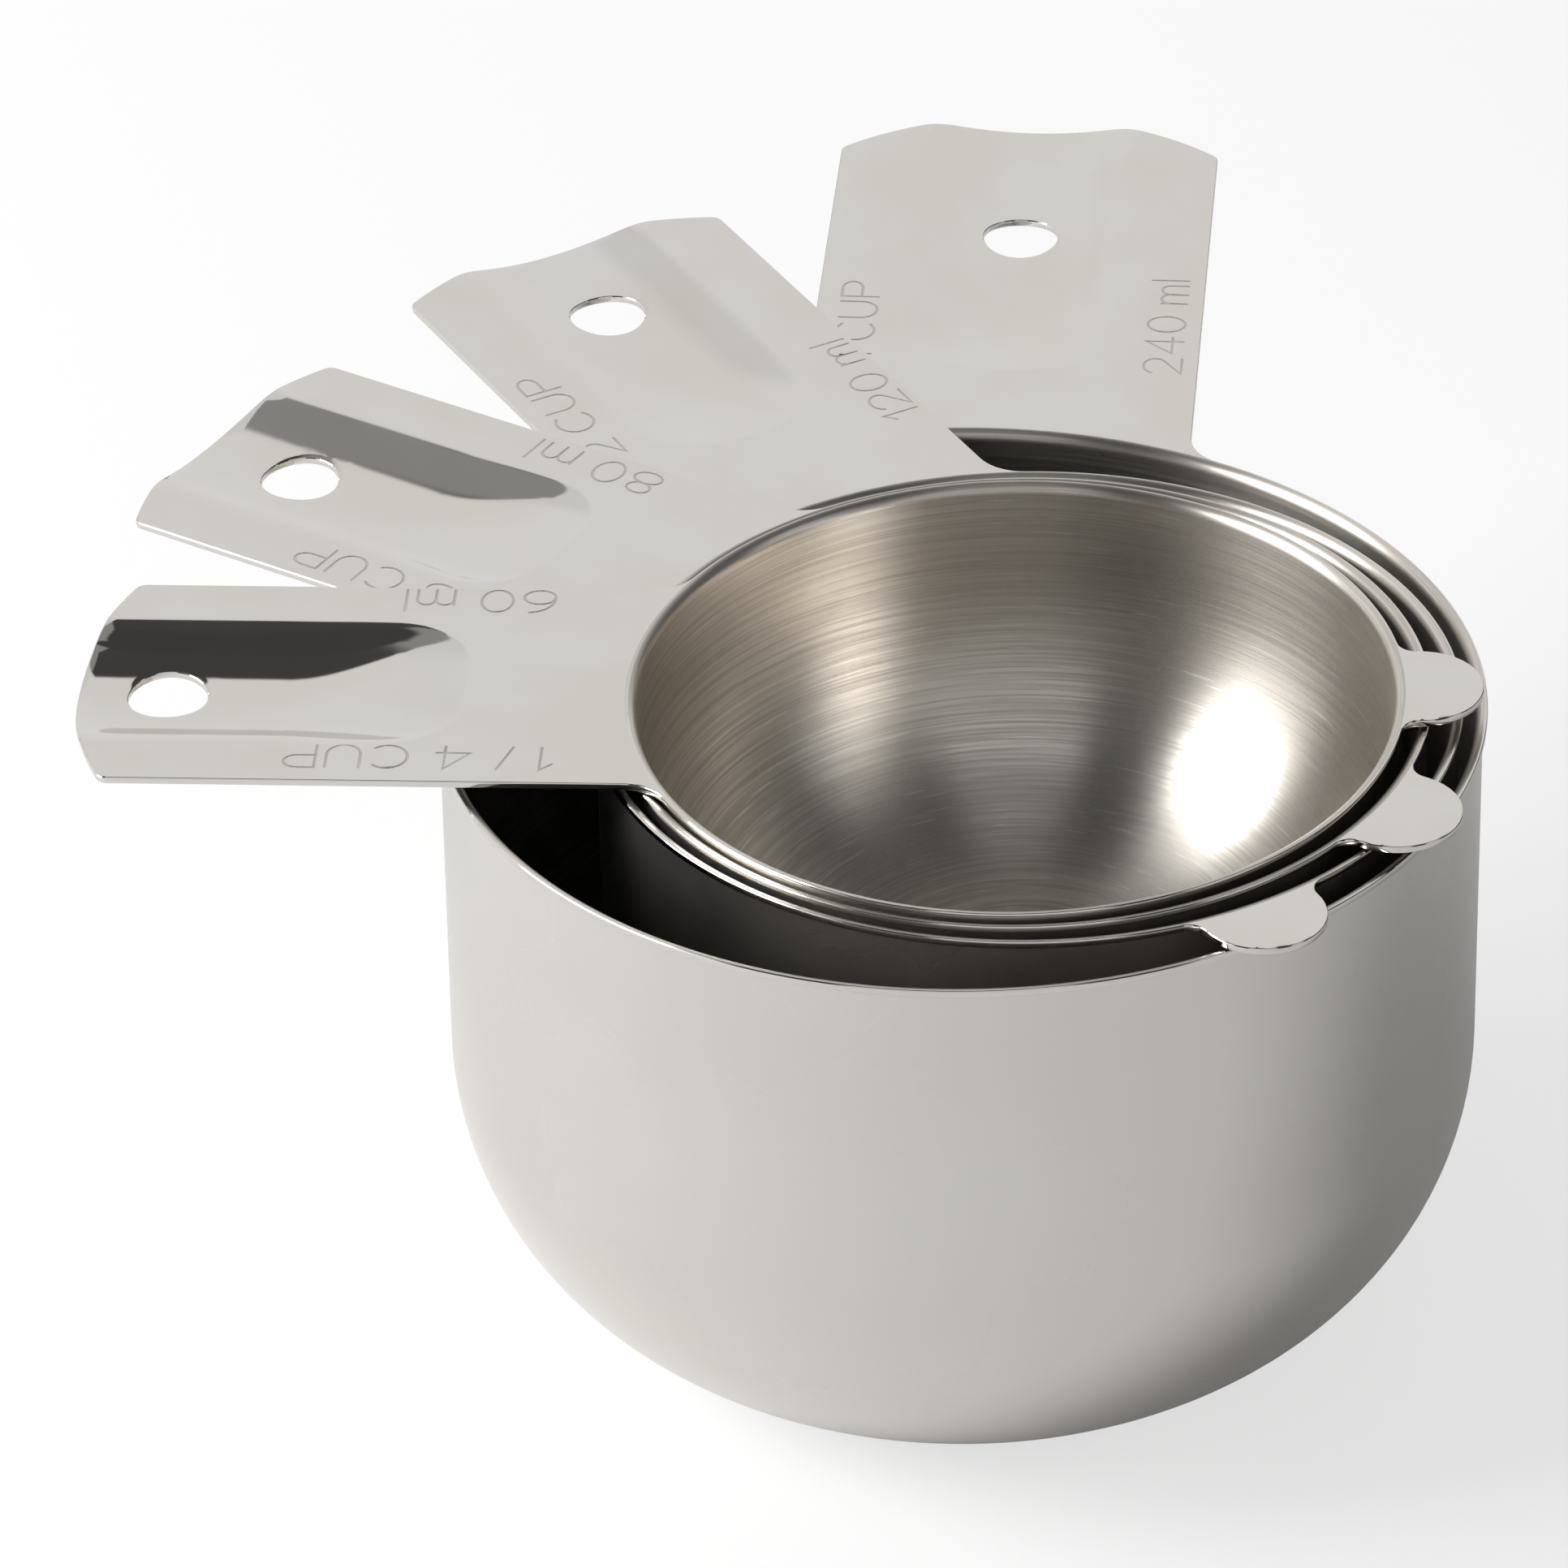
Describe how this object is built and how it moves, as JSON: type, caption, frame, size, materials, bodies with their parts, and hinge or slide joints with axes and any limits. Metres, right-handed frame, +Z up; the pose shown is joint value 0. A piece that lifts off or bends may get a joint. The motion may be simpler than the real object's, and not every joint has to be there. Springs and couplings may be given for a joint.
{
  "type": "nested measuring cup set",
  "caption": "Nested set of stainless steel measuring cups with flat channelled handles fanned out, each with a hanging hole, smaller cups resting in larger ones on a rim tab.",
  "frame": {"origin": "centre of the flat base under the largest cup's bowl", "axes": "+Z up out of the cups, +Y along the largest cup's handle towards its tip, so +X is to the right of that handle seen from above"},
  "size_m": [0.1092, 0.1332, 0.0572],
  "materials": {
    "stainless_steel": "satin, fine brushed lines along the handles and around the inside of the bowls"
  },
  "bodies": {
    "one_cup": {"one_cup_bowl": "stainless_steel", "one_cup_handle": "stainless_steel"},
    "half_cup": {"half_cup_bowl": "stainless_steel", "half_cup_handle": "stainless_steel", "half_cup_tab": "stainless_steel"},
    "third_cup": {"third_cup_bowl": "stainless_steel", "third_cup_handle": "stainless_steel", "third_cup_tab": "stainless_steel"},
    "quarter_cup": {"quarter_cup_bowl": "stainless_steel", "quarter_cup_handle": "stainless_steel", "quarter_cup_tab": "stainless_steel"}
  },
  "joints": [
    {"name": "half_cup_lift", "type": "slide", "parent": "one_cup", "child": "half_cup", "axis": [0, 0, 1], "range_m": [0, 0.052]},
    {"name": "third_cup_lift", "type": "slide", "parent": "half_cup", "child": "third_cup", "axis": [0, 0, 1], "range_m": [0, 0.043]},
    {"name": "quarter_cup_lift", "type": "slide", "parent": "third_cup", "child": "quarter_cup", "axis": [0, 0, 1], "range_m": [0, 0.038]}
  ]
}
